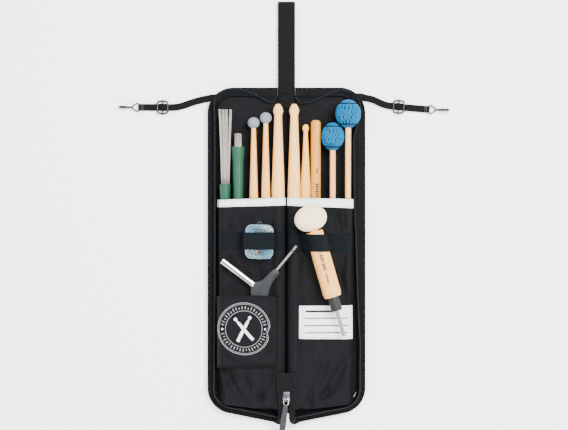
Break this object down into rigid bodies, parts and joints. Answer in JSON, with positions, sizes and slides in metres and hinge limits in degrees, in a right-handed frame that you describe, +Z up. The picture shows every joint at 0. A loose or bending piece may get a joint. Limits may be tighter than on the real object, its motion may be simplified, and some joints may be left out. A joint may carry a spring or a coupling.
{
  "type": "drum stick bag",
  "caption": "Padded two-leaf zip bag lying open, with sticks, brushes, yarn mallets, a beater, a key and an earplug case in its pockets and loops, and straps that hook onto a drum.",
  "frame": {"origin": "on the flat back face, on the fold line between the leaves, 251 mm above the foot of the zip pull", "axes": "+Z up out of the open bag, +Y towards the hanging strap, +X towards the leaf that folds over"},
  "size_m": [0.4776, 0.6182, 0.0635],
  "materials": {
    "cover_cloth": "plain-weave black polyester",
    "foam": "closed-cell foam pad, hidden between cover and lining",
    "lining_cloth": "black polyester lining",
    "binding": "grey-blue piping",
    "zip_tape": "black zip tape with a nylon coil",
    "white_tape": "white grosgrain tape",
    "elastic": "blue-black elastic webbing",
    "webbing": "black nylon webbing",
    "label": "white woven label with plain writing lines",
    "gunmetal": "gunmetal finish",
    "zip_metal": "grey plated zip metal",
    "pull_plastic": "dark grey moulded pull",
    "maple": "pale lacquered maple",
    "hickory": "lacquered hickory",
    "stained": "amber-stained hickory",
    "birch": "lacquered birch shaft",
    "grey_rubber": "grey practice tip",
    "yarn": "wound blue yarn",
    "felt": "cream pressed felt",
    "green_plastic": "green brush handle",
    "wires": "bundle of fine spring wires",
    "clear_plastic": "clear blue-grey plastic",
    "plug_rubber": "blue silicone",
    "slate": "slate grey grip",
    "chrome": "polished chrome",
    "black_steel": "black collar"
  },
  "bodies": {
    "left_leaf": {"left_outer_cover": "cover_cloth", "left_foam_pad": "foam", "left_lining": "lining_cloth", "left_gusset": "lining_cloth", "left_binding": "binding", "left_zip_chain": "zip_tape", "left_stick_pocket": "lining_cloth", "left_pocket_binding": "white_tape", "accessory_pocket": "lining_cloth", "left_elastic": "elastic", "zip_start_chain": "zip_tape", "zip_end_tab": "zip_tape", "hang_strap_anchor": "webbing"},
    "right_leaf": {"right_outer_cover": "cover_cloth", "right_foam_pad": "foam", "right_lining": "lining_cloth", "right_gusset": "lining_cloth", "right_binding": "binding", "right_zip_chain": "zip_tape", "right_stick_pocket": "lining_cloth", "right_pocket_binding": "white_tape", "right_elastic": "elastic", "id_label": "label"},
    "zip_slider": {"zip_slider": "zip_metal"},
    "zip_pull": {"zip_pull": "pull_plastic"},
    "hang_strap": {"hang_strap": "webbing"},
    "left_tom_strap": {"left_tom_strap": "webbing"},
    "left_tom_glide": {"left_tom_glide": "gunmetal"},
    "left_tom_hook": {"left_tom_hook": "gunmetal"},
    "right_tom_strap": {"right_tom_strap": "webbing"},
    "right_tom_glide": {"right_tom_glide": "gunmetal"},
    "right_tom_hook": {"right_tom_hook": "gunmetal"},
    "stick_a": {"stick_a": "maple", "stick_a_tip": "grey_rubber"},
    "stick_b": {"stick_b": "maple", "stick_b_tip": "grey_rubber"},
    "stick_c": {"stick_c": "maple"},
    "stick_d": {"stick_d": "maple"},
    "stick_e": {"stick_e": "hickory"},
    "stick_f": {"stick_f": "stained"},
    "mallet_1": {"mallet_1_shaft": "birch", "mallet_1_head": "yarn"},
    "mallet_2": {"mallet_2_shaft": "birch", "mallet_2_head": "yarn"},
    "brush_1": {"brush_1_handle": "green_plastic"},
    "brush_1_wires": {"brush_1_wires": "wires"},
    "brush_2": {"brush_2_handle": "green_plastic"},
    "brush_2_wires": {"brush_2_wires": "wires"},
    "plug_case": {"plug_case_base": "clear_plastic", "plug_case_lid": "clear_plastic", "earplugs": "plug_rubber"},
    "drum_key": {"drum_key_body": "slate", "drum_key_socket": "chrome", "drum_key_driver": "chrome"},
    "beater": {"beater_head": "felt", "beater_handle": "birch", "beater_collar": "black_steel", "beater_rod": "chrome"}
  },
  "joints": [
    {"name": "fold", "type": "hinge", "parent": "left_leaf", "child": "right_leaf", "pos_m": [0.017, 0, 0.036], "axis": [0, 1, 0], "range_deg": [-90, 0]},
    {"name": "zip_slide", "type": "slide", "parent": "left_leaf", "child": "zip_slider", "axis": [0, -1, 0], "range_m": [0, 0.02]},
    {"name": "pull_flip", "type": "hinge", "parent": "zip_slider", "child": "zip_pull", "pos_m": [0, -0.211, 0.0317], "axis": [-0.9897, 0.1435, 0], "range_deg": [0, 170]},
    {"name": "hang_strap_lift", "type": "hinge", "parent": "left_leaf", "child": "hang_strap", "pos_m": [0, 0.2263, 0.0076], "axis": [-1, 0, 0], "range_deg": [-90, 0]},
    {"name": "left_tom_strap_lift", "type": "hinge", "parent": "left_leaf", "child": "left_tom_strap", "pos_m": [-0.1107, 0.222, 0.004], "axis": [0, -1, 0], "range_deg": [-80, 0]},
    {"name": "left_glide_slide", "type": "slide", "parent": "left_tom_strap", "child": "left_tom_glide", "axis": [-1, 0.0037, 0], "range_m": [-0.01, 0.02]},
    {"name": "left_hook_swing", "type": "hinge", "parent": "left_tom_strap", "child": "left_tom_hook", "pos_m": [-0.2148, 0.2088, 0.003], "axis": [-0.0037, -1, 0], "range_deg": [-80, 0]},
    {"name": "right_tom_strap_lift", "type": "hinge", "parent": "right_leaf", "child": "right_tom_strap", "pos_m": [0.1107, 0.2226, 0.004], "axis": [0, 1, 0], "range_deg": [-80, 0]},
    {"name": "right_glide_slide", "type": "slide", "parent": "right_tom_strap", "child": "right_tom_glide", "axis": [0.996, -0.0896, 0], "range_m": [-0.007, 0.02]},
    {"name": "right_hook_swing", "type": "hinge", "parent": "right_tom_strap", "child": "right_tom_hook", "pos_m": [0.2073, 0.20548, 0.003], "axis": [0.0896, 0.996, 0], "range_deg": [-80, 0]},
    {"name": "stick_a_slide", "type": "slide", "parent": "left_leaf", "child": "stick_a", "axis": [0, 0.9998, 0.018], "range_m": [0, 0.3]},
    {"name": "stick_b_slide", "type": "slide", "parent": "left_leaf", "child": "stick_b", "axis": [0, 0.9998, 0.018], "range_m": [0, 0.3]},
    {"name": "stick_c_slide", "type": "slide", "parent": "left_leaf", "child": "stick_c", "axis": [0, 0.9998, 0.018], "range_m": [0, 0.3]},
    {"name": "stick_d_slide", "type": "slide", "parent": "right_leaf", "child": "stick_d", "axis": [0, 0.9998, 0.018], "range_m": [0, 0.3]},
    {"name": "stick_e_slide", "type": "slide", "parent": "right_leaf", "child": "stick_e", "axis": [0, 0.9998, 0.018], "range_m": [0, 0.3]},
    {"name": "stick_f_slide", "type": "slide", "parent": "right_leaf", "child": "stick_f", "axis": [0, 0.9998, 0.018], "range_m": [0, 0.3]},
    {"name": "mallet_2_slide", "type": "slide", "parent": "right_leaf", "child": "mallet_2", "axis": [0, 0.9989, 0.0478], "range_m": [0, 0.3]},
    {"name": "mallet_1_slide", "type": "slide", "parent": "right_leaf", "child": "mallet_1", "axis": [0, 0.9993, 0.038], "range_m": [0, 0.3]},
    {"name": "brush_1_slide", "type": "slide", "parent": "left_leaf", "child": "brush_1", "axis": [0, 0.9998, 0.018], "range_m": [0, 0.16]},
    {"name": "brush_1_retract", "type": "slide", "parent": "brush_1", "child": "brush_1_wires", "axis": [0, 0.9998, 0.018], "range_m": [-0.09, 0], "deforming": ["brush_1_wires"]},
    {"name": "brush_2_slide", "type": "slide", "parent": "left_leaf", "child": "brush_2", "axis": [0, 0.9998, 0.018], "range_m": [0, 0.12]},
    {"name": "brush_2_extend", "type": "slide", "parent": "brush_2", "child": "brush_2_wires", "axis": [0, 0.9998, 0.018], "range_m": [0, 0.09]},
    {"name": "plug_case_slide", "type": "slide", "parent": "left_leaf", "child": "plug_case", "axis": [0, 0.9998, 0.018], "range_m": [0, 0.06]},
    {"name": "drum_key_slide", "type": "slide", "parent": "left_leaf", "child": "drum_key", "axis": [0, 0.9998, 0.018], "range_m": [0, 0.01]},
    {"name": "beater_slide", "type": "slide", "parent": "right_leaf", "child": "beater", "axis": [-0.2759, 0.9601, 0.046], "range_m": [0, 0.155]}
  ],
  "couplings": [
    {"joint": "mallet_1_slide", "follows": "mallet_2_slide", "ratio": 1}
  ]
}
